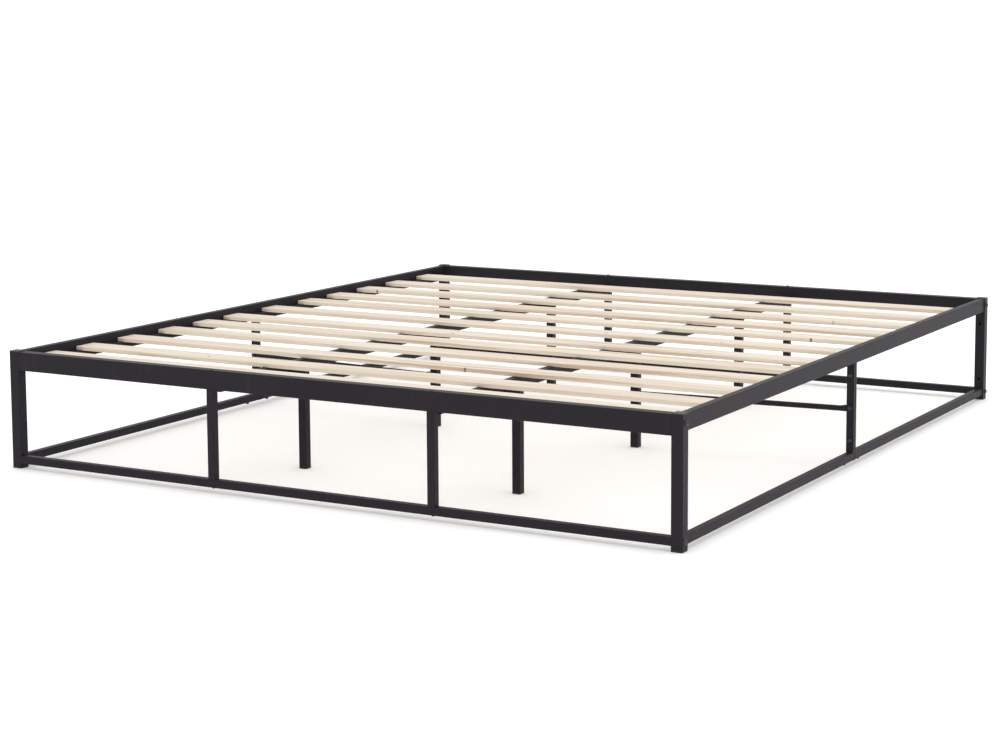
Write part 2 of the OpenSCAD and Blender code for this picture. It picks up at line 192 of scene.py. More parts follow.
def make_edge_wear_and_highlight_group():
    """Edges lightened partly as rubbed wear and partly as painted highlight, and handling marks,
    from the turn of the surface and a broken-up noise.
    """
    t, given, out = shader_group("edge_wear_and_highlight", [
        ("Position", VECTOR, None), ("Reach", FLOAT, 0.0016), ("Breakup Scale", FLOAT, 60.0),
        ("Amount", FLOAT, 0.5),
    ], [("Edge", FLOAT), ("Rub", FLOAT)])
    rounded = t.add("ShaderNodeBevel", {"Radius": given["Reach"]}, samples=4).outputs["Normal"]
    flat = t.add("ShaderNodeNewGeometry").outputs["Normal"]
    turn = t.math("SUBTRACT", 1.0, t.vector("DOT_PRODUCT", rounded, flat))
    # The edge mask lightens edges: partly rubbed wear, partly painted highlight.
    edge = t.ramp(turn, 0.01, 0.16)
    patches = t.noise(given["Position"], given["Breakup Scale"], 4.0, 0.65)
    broken = t.ramp(patches, 0.42, 0.66)
    edge_highlight_and_wear = t.math("MULTIPLY", t.math("MULTIPLY", edge, t.math("ADD", broken, 0.25)),
                      given["Amount"], clamp=True)
    streaks = t.noise(t.vector("MULTIPLY", given["Position"], (1.0, 1.0, 0.25)),
                      t.math("MULTIPLY", given["Breakup Scale"], 0.4), 6.0, 0.7)
    rub = t.math("MULTIPLY", t.ramp(streaks, 0.56, 0.74), given["Amount"], clamp=True)
    t.link(edge_highlight_and_wear, out.inputs["Edge"])
    t.link(rub, out.inputs["Rub"])
    return t.tree


def make_dust_group():
    """A thin veil of dust on faces that look up."""
    t, given, out = shader_group("settled_dust", [
        ("Position", VECTOR, None), ("Scale", FLOAT, 25.0), ("Amount", FLOAT, 0.2),
    ], [("Dust", FLOAT)])
    up = t.add("ShaderNodeSeparateXYZ", {0: t.add("ShaderNodeNewGeometry").outputs["Normal"]})
    facing = t.ramp(up.outputs["Z"], 0.55, 0.98)
    clumps = t.ramp(t.noise(given["Position"], given["Scale"], 6.0, 0.7), 0.35, 0.75)
    dust = t.math("MULTIPLY", t.math("MULTIPLY", facing, clumps), given["Amount"], clamp=True)
    t.link(dust, out.inputs["Dust"])
    return t.tree


def make_wood_group():
    """Growth rings of a sawn softwood board, with knots that bend the rings around them."""
    t, given, out = shader_group("softwood_rings", [
        ("Position", VECTOR, None), ("Board", VECTOR, None), ("Ring Spacing", FLOAT, 0.0042),
    ], [("Latewood", FLOAT), ("Fibre", FLOAT), ("Knot", FLOAT), ("Streak", FLOAT)])
    here = t.vector("ADD", given["Position"], given["Board"])
    # Knots: sparse cells along the board, some of them switched on; sizes in metres
    knot_space = t.vector("MULTIPLY", here, (2.6, 15.0, 2.0))
    cells = t.add("ShaderNodeTexVoronoi", {"Vector": knot_space, "Scale": 1.0,
                                           "Randomness": 0.9}, voronoi_dimensions="3D")
    from_cell = t.vector("MULTIPLY", t.vector("SUBTRACT", knot_space, cells.outputs["Position"]),
                         (0.385, 0.0667, 0.0))
    distance = t.vector("LENGTH", from_cell)
    lucky = t.add("ShaderNodeSeparateColor", {0: cells.outputs["Color"]})
    present = t.math("GREATER_THAN", lucky.outputs[0], 0.72)
    size = t.scaled(lucky.outputs[1], 0.0035, 0.0014)
    ragged = t.scaled(t.noise(here, 160.0, 3.0), 0.002, -0.001)
    edge = t.math("ADD", t.math("SUBTRACT", size, distance), ragged)
    knot = t.math("MULTIPLY", t.ramp(edge, -0.0012, 0.0012), present)
    swell = t.math("MULTIPLY", present,
                   t.math("EXPONENT", t.math("MULTIPLY", t.math("POWER", t.math(
                       "DIVIDE", distance, 0.016), 2.0), -1.0)))
    # Rings: distance from a heart line that wanders below the board
    slow = t.noise(t.vector("MULTIPLY", here, (0.9, 3.0, 3.0)), 1.0, 2.0)
    wave = t.noise(t.vector("MULTIPLY", here, (7.0, 22.0, 22.0)), 1.0, 3.0)
    part = t.add("ShaderNodeSeparateXYZ", {0: given["Position"]})
    seed = t.add("ShaderNodeSeparateXYZ", {0: given["Board"]})
    side = t.math("ADD", t.math("SUBTRACT", part.outputs["Y"], seed.outputs["Z"]),
                  t.math("MULTIPLY", t.math("SUBTRACT", slow, 0.5), 0.11))
    depth = t.math("ADD", t.math("SUBTRACT", part.outputs["Z"], 0.21),
                   t.math("MULTIPLY", t.math("SUBTRACT", wave, 0.5), 0.006))
    radius = t.math("SQRT", t.math("ADD", t.math("MULTIPLY", side, side),
                                   t.math("MULTIPLY", depth, depth)))
    radius = t.math("ADD", radius, t.math("MULTIPLY", swell, 0.009))
    phase = t.math("FRACT", t.math("DIVIDE", radius, given["Ring Spacing"]))
    latewood = t.math("SUBTRACT", t.ramp(phase, 0.35, 0.86), t.ramp(phase, 0.90, 0.99))
    fibre = t.noise(t.vector("MULTIPLY", here, (12.0, 700.0, 700.0)), 1.0, 3.0, 0.6)
    streak = t.noise(t.vector("MULTIPLY", here, (1.6, 26.0, 26.0)), 1.0, 3.0, 0.6)
    for name, value in (("Latewood", latewood), ("Fibre", fibre), ("Knot", knot),
                        ("Streak", streak)):
        t.link(value, out.inputs[name])
    return t.tree


FINE_TEXTURE = make_fine_texture_group()
WEAR_AND_HIGHLIGHT = make_edge_wear_and_highlight_group()
DUST = make_dust_group()
RINGS = make_wood_group()
DUST_COLOR = (0.20, 0.19, 0.185, 1)


def new_material(name):
    mat = bpy.data.materials.new(name)
    mat.use_nodes = True
    t = Tree(mat.node_tree)
    shader = mat.node_tree.nodes["Principled BSDF"]
    place = t.add("ShaderNodeTexCoord").outputs["Object"]
    return mat, t, shader, place


def use_group(t, group, **values):
    node = t.add("ShaderNodeGroup", node_tree=group)
    for name, value in values.items():
        t.feed(value, node.inputs[name.replace("_", " ")])
    return node.outputs


def coated_metal(name, color, pale, roughness, grain, relief, wear, bare_and_highlight, dust, metallic=0.0,
                 shine=0.5):
    """Powder-coated or blackened steel: fine skin, edges lightened partly as rubbed wear and
    partly as painted highlight, a little dust.
    """
    mat, t, shader, place = new_material(name)
    skin = use_group(t, FINE_TEXTURE, Position=place, Grain_Scale=grain, Mottle_Scale=5.0)
    wear_and_highlight = use_group(t, WEAR_AND_HIGHLIGHT, Position=place, Breakup_Scale=55.0, Amount=wear)
    dusty = use_group(t, DUST, Position=place, Scale=22.0, Amount=dust)
    base = t.mix(skin["Mottle"], color, pale)
    base = t.mix(wear_and_highlight["Rub"], base, [c * 1.7 for c in pale[:3]] + [1])
    # Lighter edge colour: partly rubbed wear, partly painted highlight.
    base = t.mix(wear_and_highlight["Edge"], base, bare_and_highlight)
    base = t.mix(dusty["Dust"], base, DUST_COLOR)
    t.link(base, shader.inputs["Base Color"])
    rough = t.scaled(skin["Mottle"], 0.10, roughness - 0.05)
    rough = t.math("ADD", rough, t.math("MULTIPLY", dusty["Dust"], 0.35))
    rough = t.math("SUBTRACT", rough, t.math("MULTIPLY", wear_and_highlight["Edge"], 0.10), clamp=True)
    t.link(rough, shader.inputs["Roughness"])
    shader.inputs["Metallic"].default_value = metallic
    shader.inputs["Specular IOR Level"].default_value = shine
    shader.inputs["Specular Tint"].default_value = (1.0, 0.90, 1.0, 1)
    bump = t.add("ShaderNodeBump", {"Strength": relief, "Distance": 0.0002,
                                    "Height": skin["Height"]})
    t.link(bump.outputs["Normal"], shader.inputs["Normal"])
    return mat


def moulded_plastic():
    mat, t, shader, place = new_material("black_moulded_plastic")
    skin = use_group(t, FINE_TEXTURE, Position=place, Grain_Scale=1500.0, Mottle_Scale=30.0)
    wear_and_highlight = use_group(t, WEAR_AND_HIGHLIGHT, Position=place, Breakup_Scale=130.0, Amount=0.35)
    dusty = use_group(t, DUST, Position=place, Scale=80.0, Amount=0.16)
    base = t.mix(skin["Mottle"], (0.008, 0.008, 0.009, 1), (0.018, 0.018, 0.020, 1))
    # Lighter edge colour: partly rubbed wear, partly painted highlight.
    base = t.mix(wear_and_highlight["Edge"], base, (0.05, 0.05, 0.052, 1))
    base = t.mix(dusty["Dust"], base, DUST_COLOR)
    t.link(base, shader.inputs["Base Color"])
    t.link(t.scaled(skin["Mottle"], 0.12, 0.44), shader.inputs["Roughness"])
    bump = t.add("ShaderNodeBump", {"Strength": 0.25, "Distance": 0.00015,
                                    "Height": skin["Height"]})
    t.link(bump.outputs["Normal"], shader.inputs["Normal"])
    return mat


def pine(name, early, late, streaks, lines, knots, fibre_depth, roughness, end=False):
    """Planed pine; the end grain shows the rings cut across and is a little darker."""
    mat, t, shader, place = new_material(name)
    board = t.add("ShaderNodeAttribute", attribute_name="board",
                  attribute_type="GEOMETRY").outputs["Vector"]
    wood = use_group(t, RINGS, Position=place, Board=board,
                     Ring_Spacing=0.0026 if end else 0.0040)
    base = t.mix(t.math("MULTIPLY", wood["Latewood"], 0.72 if end else 0.50), early, late)
    base = t.mix(t.ramp(wood["Streak"], 0.44, 0.66, 0.0, 0.75), base, streaks)
    line = t.noise(t.vector("MULTIPLY", t.vector("ADD", place, board), (1.1, 75.0, 75.0)),
                   1.0, 4.0, 0.65)
    base = t.mix(t.ramp(line, 0.54, 0.62, 0.0, 0.75), base, lines)
    shade = t.add("ShaderNodeSeparateXYZ", {0: board})
    tone = t.math("FRACT", t.math("MULTIPLY", shade.outputs["X"], 7.31))
    base = t.mix(t.math("MULTIPLY", tone, 0.25), base, (0.90, 0.80, 0.70, 1), "MULTIPLY")
    grain = t.ramp(wood["Fibre"], 0.30, 0.72, 0.0, 0.14)
    base = t.mix(grain, base, (0.46, 0.34, 0.24, 1))
    if not end:
        base = t.mix(t.math("MULTIPLY", wood["Knot"], 0.90), base, knots)
    else:
        saw = t.noise(t.vector("MULTIPLY", place, (1.0, 60.0, 900.0)), 1.0, 2.0)
        base = t.mix(t.ramp(saw, 0.4, 0.7, 0.0, 0.25), base, (0.45, 0.30, 0.17, 1))
    t.link(base, shader.inputs["Base Color"])
    t.link(t.scaled(wood["Latewood"], -0.10, roughness), shader.inputs["Roughness"])
    height = t.math("ADD", t.math("MULTIPLY", wood["Fibre"], fibre_depth),
                    t.math("MULTIPLY", wood["Latewood"], 0.35))
    bump = t.add("ShaderNodeBump", {"Strength": 0.35, "Distance": 0.0003, "Height": height})
    t.link(bump.outputs["Normal"], shader.inputs["Normal"])
    return mat


COAT = coated_metal("black_powder_coat", (0.0150, 0.0132, 0.0168, 1),
                    (0.0215, 0.0190, 0.0238, 1), 0.46, 800.0, 0.22, 0.35,
                    (0.075, 0.068, 0.078, 1), 0.08, shine=0.11)
# The bolts' pale edge colour (0.24) at edge amount 0.9 is a painted highlight on the heads, with
# only a little wear.
BLACK_BOLT = coated_metal("blackened_bolt_steel", (0.016, 0.016, 0.018, 1),
                          (0.040, 0.040, 0.043, 1), 0.20, 1400.0, 0.15, 0.9,
                          (0.24, 0.23, 0.23, 1), 0.05, metallic=0.35)
PLASTIC = moulded_plastic()
PINE_FACE = pine("planed_pine", (0.75, 0.68, 0.565, 1), (0.66, 0.55, 0.42, 1),
                 (0.66, 0.53, 0.43, 1), (0.50, 0.37, 0.26, 1), (0.20, 0.12, 0.07, 1), 0.6, 0.58)
PINE_END = pine("sawn_pine_end", (0.62, 0.52, 0.40, 1), (0.48, 0.35, 0.23, 1),
                (0.58, 0.46, 0.35, 1), (0.45, 0.33, 0.22, 1), (0.20, 0.12, 0.07, 1), 1.0, 0.78,
                end=True)


# ---------------------------------------------------------------- pieces

def geometry_tree(name, inputs):
    tree = bpy.data.node_groups.new(name, "GeometryNodeTree")
    tree.interface.new_socket("Geometry", in_out="INPUT", socket_type="NodeSocketGeometry")
    for socket, kind, value in inputs:
        made = tree.interface.new_socket(socket, in_out="INPUT", socket_type=kind)
        if value is not None:
            made.default_value = value
    tree.interface.new_socket("Geometry", in_out="OUTPUT", socket_type="NodeSocketGeometry")
    helper = Tree(tree)
    return helper, helper.add("NodeGroupInput").outputs, helper.add("NodeGroupOutput")


def run_tree(name, t, start_mesh, values):
    """Puts the tree on an object, sets its inputs, and gives back the finished plain mesh."""
    source = bpy.data.objects.new(name + "_source", start_mesh)
    bpy.context.scene.collection.objects.link(source)
    modifier = source.modifiers.new("make", "NODES")
    modifier.node_group = t.tree
    identifiers = {item.name: item.identifier for item in t.tree.interface.items_tree
                   if item.item_type == "SOCKET" and item.in_out == "INPUT"}
    for key, value in values.items():
        modifier[identifiers[key]] = value
    source.update_tag()
    graph = bpy.context.evaluated_depsgraph_get()
    graph.update()
    mesh = bpy.data.meshes.new_from_object(source.evaluated_get(graph))
    source.modifiers.clear()
    bpy.data.objects.remove(source)
    mesh.name = name
    piece = bpy.data.objects.new(name, mesh)
    bpy.context.scene.collection.objects.link(piece)
    return piece


def middle_of(node):
    """The middle of a node's box."""
    low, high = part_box(node)
    return tuple((a + b) / 2 for a, b in zip(low, high))


def hand_over(piece, slot, *nodes):
    """The piece rides on the frame and stands for its CAD nodes."""
    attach(piece, ROOT)
    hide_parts(*nodes)


def point_mesh(name, places, vectors=None, floats=None):
    mesh = bpy.data.meshes.new(name)
    mesh.from_pydata(places, [], [])
    for key, rows in (vectors or {}).items():
        layer = mesh.attributes.new(key, "FLOAT_VECTOR", "POINT")
        layer.data.foreach_set("vector", [c for row in rows for c in row])
    for key, rows in (floats or {}).items():
        layer = mesh.attributes.new(key, "FLOAT", "POINT")
        layer.data.foreach_set("value", rows)
    return mesh


# Slats: a rounded board outline swept along the board, with a slight planed unevenness

def slat_tree():
    t, given, out = geometry_tree("slat_board", [
        ("Low Corner", VECTOR, None), ("Size", VECTOR, None), ("Edge Radius", FLOAT, SLAT_EASE),
        ("Unevenness", FLOAT, SLAT_WANDER), ("Board", VECTOR, None), ("Stations", COUNT, 60),
        ("Face Wood", MATERIAL, None), ("End Wood", MATERIAL, None)])
    size = t.add("ShaderNodeSeparateXYZ", {0: given["Size"]})
    low = given["Low Corner"]
    outline = t.add("GeometryNodeCurvePrimitiveQuadrilateral", {
        "Width": size.outputs["Y"], "Height": size.outputs["Z"]})
    rounded = t.add("GeometryNodeFilletCurve", {
        "Curve": outline.outputs[0], "Radius": given["Edge Radius"], "Count": 4}, mode="POLY")
    middle = t.vector("ADD", low, t.vector("SCALE", given["Size"], scale=0.5))
    reach = t.add("ShaderNodeCombineXYZ", {"X": t.math("MULTIPLY", size.outputs["X"], 0.5)})
    line = t.add("GeometryNodeCurvePrimitiveLine", {
        "Start": t.vector("SUBTRACT", middle, reach.outputs[0]),
        "End": t.vector("ADD", middle, reach.outputs[0])})
    path = t.add("GeometryNodeResampleCurve", {"Curve": line.outputs[0],
                                               "Count": given["Stations"]})
    swept = t.add("GeometryNodeCurveToMesh", {
        "Curve": path.outputs[0], "Profile Curve": rounded.outputs[0], "Fill Caps": True})
    # The boards lie flat, and their faces wander a little inwards from the nominal size
    place = t.add("GeometryNodeInputPosition").outputs[0]
    local = t.vector("SUBTRACT", place, middle)
    wander = t.noise(t.vector("MULTIPLY", t.vector("ADD", place, given["Board"]),
                              (2.5, 9.0, 30.0)), 1.0, 2.0)
    inward = t.vector("MULTIPLY", local, (0.0, 1.0, 1.0))
    step = t.vector("SCALE", t.vector("NORMALIZE", inward),
                    scale=t.math("MULTIPLY", wander,
                                 t.math("MULTIPLY", given["Unevenness"], -1.0)))
    bent = t.add("GeometryNodeSetPosition", {"Geometry": swept.outputs[0], "Offset": step})
    tagged = t.add("GeometryNodeStoreNamedAttribute", {
        "Geometry": bent.outputs[0], "Name": "board", "Value": given["Board"]},
        data_type="FLOAT_VECTOR", domain="POINT")
    normal = t.add("ShaderNodeSeparateXYZ", {0: t.add("GeometryNodeInputNormal").outputs[0]})
    is_end = t.math("GREATER_THAN", t.math("ABSOLUTE", normal.outputs["X"]), 0.7)
    is_long = t.math("SUBTRACT", 1.0, is_end)
    realized = t.add("GeometryNodeRealizeInstances", {"Geometry": tagged.outputs[0]})
    smooth = t.add("GeometryNodeSetShadeSmooth", {
        "Geometry": realized.outputs[0], "Shade Smooth": False})
    faces = t.add("GeometryNodeSetMaterial", {
        "Geometry": smooth.outputs[0], "Selection": is_long, "Material": given["Face Wood"]})
    ends = t.add("GeometryNodeSetMaterial", {
        "Geometry": faces.outputs[0], "Selection": is_end, "Material": given["End Wood"]})
    t.link(ends.outputs[0], out.inputs[0])
    return t


def own_number(index):
    """A fixed number between 0 and 1 that differs from slat to slat."""
    turn = math.sin(index * 12.9898) * 43758.5453
    return turn - math.floor(turn)


def make_slats():
    t = slat_tree()
    names = sorted(n for n in frame["nodes"] if n.startswith("slat_") and n != "slat_ledges")
    for index, node in enumerate(names):
        low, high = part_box(node)
        low, high = Vector(low), Vector(high)
        luck = own_number(index)
        heart_y = low.y + SLAT_HALF + 0.05 * (luck - 0.5)
        board = (3.7 * index + luck, 1.9 * index + 0.6 * luck, heart_y)
        piece = run_tree(node + "_board", t, point_mesh("start", [(0, 0, 0)]), {
            "Low Corner": tuple(low), "Size": tuple(high - low), "Edge Radius": SLAT_EASE,
            "Unevenness": SLAT_WANDER, "Board": board, "Stations": 60,
            "Face Wood": PINE_FACE, "End Wood": PINE_END})
        hand_over(piece, "pine", node)


# Bolts: a turned button head with a hex socket, and a plain shank, on every bolt place

def ring(radius, z, sides=0):
    """Points of a circle, or of a regular outline when sides is given."""
    points = []
    for k in range(RING_POINTS):
        a = 2 * math.pi * k / RING_POINTS
        r = radius
        if sides:
            half = math.pi / sides
            r = radius * math.cos(half) / math.cos((a % (2 * half)) - half)
        points.append((r * math.cos(a), r * math.sin(a), z))
    return points


def lofted_mesh(name, rings):
    """A closed form through its rings of points, with a face over the first and the last."""
    shape = bmesh.new()
    rows = [[shape.verts.new(p) for p in points] for points in rings]
    count = len(rows[0])
    for low, high in zip(rows, rows[1:]):
        for k in range(count):
            m = (k + 1) % count
            shape.faces.new((low[k], low[m], high[m], high[k]))
    shape.faces.new(list(reversed(rows[0])))
    shape.faces.new(rows[-1])
    bmesh.ops.recalc_face_normals(shape, faces=shape.faces)
    mesh = bpy.data.meshes.new(name)
    shape.to_mesh(mesh)
    shape.free()
    return mesh


def bolt_head_mesh():
    """Head of a bolt of radius 1: 1.1 high and 3.5 across."""
    rings = [ring(1.00, 0.0), ring(1.75, 0.0), ring(1.75, 0.26), ring(1.71, 0.42),
             ring(1.56, 0.68), ring(1.32, 0.90), ring(1.04, 1.06), ring(0.88, 1.10),
             ring(0.78, 1.10, sides=6), ring(0.72, 1.02, sides=6), ring(0.70, 0.45, sides=6)]
    return lofted_mesh("button_head", rings)


def fastener_tree():
    t, given, out = geometry_tree("bolts_on_places", [
        ("Head", OBJECT, None), ("Shank Sides", COUNT, 16), ("Finish", MATERIAL, None)])

    def named(key, kind):
        return t.add("GeometryNodeInputNamedAttribute", {"Name": key},
                     data_type=kind).outputs["Attribute"]
    points = t.add("GeometryNodeMeshToPoints", {"Mesh": given["Geometry"]})
    turn = t.add("FunctionNodeAlignRotationToVector", {"Vector": named("way", "FLOAT_VECTOR")},
                 axis="Z").outputs[0]
    size = named("size", "FLOAT")
    tall = t.add("ShaderNodeCombineXYZ", {"X": size, "Y": size, "Z": named("rise", "FLOAT")})
    heads = t.add("GeometryNodeInstanceOnPoints", {
        "Points": points.outputs[0],
        "Instance": t.add("GeometryNodeObjectInfo", {"Object": given["Head"]}
                          ).outputs["Geometry"],
        "Rotation": turn, "Scale": tall.outputs[0]})
    shank = t.add("GeometryNodeMeshCylinder", {
        "Vertices": given["Shank Sides"], "Radius": 1.0, "Depth": 1.0})
    hung = t.add("GeometryNodeTransform", {"Geometry": shank.outputs["Mesh"],
                                           "Translation": (0.0, 0.0, -0.5)})
    stretch = t.add("ShaderNodeCombineXYZ", {"X": size, "Y": size, "Z": named("reach", "FLOAT")})
    shanks = t.add("GeometryNodeInstanceOnPoints", {
        "Points": points.outputs[0], "Instance": hung.outputs[0], "Rotation": turn,
        "Scale": stretch.outputs[0]})
    both = t.add("GeometryNodeJoinGeometry")
    t.link(heads.outputs[0], both.inputs[0])
    t.link(shanks.outputs[0], both.inputs[0])
    real = t.add("GeometryNodeRealizeInstances", {"Geometry": both.outputs[0]})
    dressed = t.add("GeometryNodeSetMaterial", {"Geometry": real.outputs[0],
                                                "Material": given["Finish"]})
    t.link(dressed.outputs[0], out.inputs[0])
    return t


def bolt_places():
    """For each bolt node: (place under the head, way out, radius, shank length) of each bolt."""
    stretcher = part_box("foot_stretcher")
    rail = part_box("foot_rail")
    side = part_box("side_rail_right_foot")
    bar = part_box("center_bar_right_foot")
    out_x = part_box("leg_foot_right")[1][0]
    end_y = -middle_of("foot_stretcher")[1]
    rail_y = -middle_of("foot_rail")[1]
    low_z = middle_of("foot_stretcher")[2]
    side_x, _, side_z = middle_of("side_rail_right_foot")
    bar_x, _, bar_z = middle_of("center_bar_right_foot")
    post_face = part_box("side_post_right_foot")[0][1]
    side_seam = side[1][1]
    bar_seam = bar[1][1]
    rows = {"corner_bolts": [], "post_bolts": [], "joint_bolts": [], "center_leg_bolts": []}
    for sx in SIDES:
        for sy in SIDES:
            for y, z in ((end_y, low_z), (rail_y, side_z)):
                rows["corner_bolts"].append(((sx * out_x, sy * y, z), (sx, 0, 0), M8,
                                             CORNER_SHANK))
            rows["post_bolts"] += [
                ((sx * bar_x, sy * end_y, rail[1][2]), (0, 0, 1), M6, RAIL_SHANK),
                ((sx * bar_x, sy * end_y, stretcher[0][2]), (0, 0, -1), M6, STRETCHER_SHANK)]
            for x, seam, z in ((side_x, side_seam, stretcher[0][2]),
                               (bar_x, bar_seam, bar[0][2])):
                rows["joint_bolts"].append(
                    ((sx * x, seam + sy * SEAM_BOLT_OFF, z), (0, 0, -1), M6, SEAM_SHANK))
        for z in SIDE_POST_BOLTS:
            under = PLATE if z == BRACE_HEIGHT else 0.0
            rows["post_bolts"].append(((sx * side_x, post_face - under, z), (0, -1, 0), M6,
                                       SIDE_POST_SHANK + under))
        for place in ("foot", "middle", "head"):
            y = middle_of("center_leg_right_" + place)[1]
            rows["center_leg_bolts"].append(
                ((sx * bar_x - TUBE / 2, y, bar_z), (-1, 0, 0), M6, INNER_LEG_SHANK))
        inner = "center_leg_%s_middle" % ("left" if sx < 0 else "right")
        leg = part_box(inner)
        rows["center_leg_bolts"].append(
            ((middle_of(inner)[0], leg[0][1] - PLATE, BRACE_HEIGHT), (0, -1, 0), M6,
             BRACE_SHANK))
    return rows


def head_height(node, way):
    """Low heads on top of the rails, tall ones below the seams."""
    if node == "joint_bolts":
        return TALL_HEAD
    return LOW_HEAD if way == (0, 0, 1) else 1.0


def make_bolts():
    t = fastener_tree()
    head = bpy.data.objects.new("button_head", bolt_head_mesh())
    bpy.context.scene.collection.objects.link(head)
    for node, rows in bolt_places().items():
        start = point_mesh("start", [r[0] for r in rows], {"way": [r[1] for r in rows]},
                           {"size": [r[2] for r in rows], "reach": [r[3] for r in rows],
                            "rise": [r[2] * head_height(node, r[1]) for r in rows]})
        piece = run_tree(node + "_turned", t, start, {
            "Head": head, "Shank Sides": 16, "Finish": BLACK_BOLT})
        hand_over(piece, "fastener", node)
    bpy.data.objects.remove(head)


# Caps and glides: a rounded square head with an eased edge over a square plug

def cap_tree():
    t, given, out = geometry_tree("square_caps_on_places", [
        ("Side", FLOAT, LEG), ("Corner", FLOAT, CORNER), ("Head", FLOAT, CAP_HEAD),
        ("Ease", FLOAT, CAP_EASE), ("Plug", FLOAT, PLUG), ("Way", FLOAT, 1.0),
        ("Finish", MATERIAL, None)])

    def rounded_square(side, corner):
        outline = t.add("GeometryNodeCurvePrimitiveQuadrilateral", {"Width": side,
                                                                    "Height": side})
        return t.add("GeometryNodeFilletCurve", {"Curve": outline.outputs[0],
                                                 "Radius": corner, "Count": 5}, mode="POLY")

    def lifted(start, height, shrink):
        """One more layer on top, its outline drawn in by shrink."""
        layer = t.add("GeometryNodeExtrudeMesh", {
            "Mesh": start[0], "Selection": start[1], "Offset Scale": height,
            "Individual": False})
        drawn = t.add("GeometryNodeScaleElements", {
            "Geometry": layer.outputs["Mesh"], "Selection": layer.outputs["Top"],
            "Scale": t.math("SUBTRACT", 1.0, t.math("DIVIDE", shrink, given["Side"]))})
        return drawn.outputs[0], layer.outputs["Top"]
    flat = t.add("GeometryNodeFillCurve", {
        "Curve": rounded_square(given["Side"], given["Corner"]).outputs[0]}, mode="NGONS")
    layer = t.add("GeometryNodeExtrudeMesh", {
        "Mesh": flat.outputs[0], "Individual": False,
        "Offset Scale": t.math("SUBTRACT", given["Head"], given["Ease"])})
    body = (layer.outputs["Mesh"], layer.outputs["Top"])
    for share, draw in ((0.40, 0.35), (0.35, 0.9), (0.25, 1.6)):
        body = lifted(body, t.math("MULTIPLY", given["Ease"], share),
                      t.math("MULTIPLY", given["Ease"], draw))
    under = t.add("GeometryNodeFlipFaces", {"Mesh": flat.outputs[0]})
    inner = t.math("SUBTRACT", given["Side"], PLUG_ROOM)
    plug_flat = t.add("GeometryNodeFillCurve", {
        "Curve": rounded_square(inner, 0.001).outputs[0]}, mode="NGONS")
    plug_down = t.add("GeometryNodeFlipFaces", {"Mesh": plug_flat.outputs[0]})
    plug = t.add("GeometryNodeExtrudeMesh", {
        "Mesh": plug_down.outputs[0], "Individual": False, "Offset Scale": given["Plug"]})
    whole = t.add("GeometryNodeJoinGeometry")
    for part in (body[0], under.outputs[0], plug.outputs["Mesh"]):
        t.link(part, whole.inputs[0])
    seated = t.add("GeometryNodeTransform", {
        "Geometry": whole.outputs[0],
        "Translation": t.add("ShaderNodeCombineXYZ", {
            "Z": t.math("MULTIPLY", given["Head"], -1.0)}).outputs[0]})
    tilt = t.add("ShaderNodeCombineXYZ", {
        "X": t.math("MULTIPLY", t.math("LESS_THAN", given["Way"], 0.0), math.pi)})
    turned = t.add("GeometryNodeTransform", {"Geometry": seated.outputs[0],
                                             "Rotation": tilt.outputs[0]})
    placed = t.add("GeometryNodeInstanceOnPoints", {
        "Points": t.add("GeometryNodeMeshToPoints", {"Mesh": given["Geometry"]}).outputs[0],
        "Instance": turned.outputs[0]})
    real = t.add("GeometryNodeRealizeInstances", {"Geometry": placed.outputs[0]})
    welded = t.add("GeometryNodeMergeByDistance", {"Geometry": real.outputs[0],
                                                   "Distance": 0.00001})
    dressed = t.add("GeometryNodeSetMaterial", {"Geometry": welded.outputs[0],
                                                "Material": given["Finish"]})
    t.link(dressed.outputs[0], out.inputs[0])
    return t


def make_caps():
    t = cap_tree()
    corners = [middle_of("leg_%s_%s" % (end, side))
               for end in ("foot", "head") for side in ("left", "right")]
    inner = [middle_of("center_leg_%s_%s" % (side, row))
             for side in ("left", "right") for row in ("foot", "middle", "head")]
    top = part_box("leg_top_caps")[1][2]

    def caps(name, places, height, side, head, way):
        start = point_mesh("start", [(place[0], place[1], height) for place in places])
        return run_tree(name, t, start, {
            "Side": side, "Corner": CORNER, "Head": head, "Ease": CAP_EASE, "Plug": PLUG,
            "Way": way, "Finish": PLASTIC})
    hand_over(caps("leg_top_caps_moulded", corners, top, LEG, CAP_HEAD, 1.0),
              "plastic", "leg_top_caps")
    glides = [caps("glides_wide", corners, 0.0, LEG, GLIDE_HEAD, -1.0),
              caps("glides_narrow", inner, 0.0, INNER_LEG, GLIDE_HEAD, -1.0)]
    joined = bmesh.new()
    for piece in glides:
        joined.from_mesh(piece.data)
    mesh = bpy.data.meshes.new("floor_glides_moulded")
    joined.to_mesh(mesh)
    joined.free()
    mesh.materials.append(PLASTIC)
    for piece in glides:
        bpy.data.objects.remove(piece)
    glide = bpy.data.objects.new("floor_glides_moulded", mesh)
    bpy.context.scene.collection.objects.link(glide)
    hand_over(glide, "plastic", "floor_glides")


# Braces: round tube that runs out into flattened, rounded ends

def smooth_step(value):
    """0 to 1 with a soft start and a soft end."""
    value = max(0.0, min(1.0, value))
    return value * value * (3 - 2 * value)


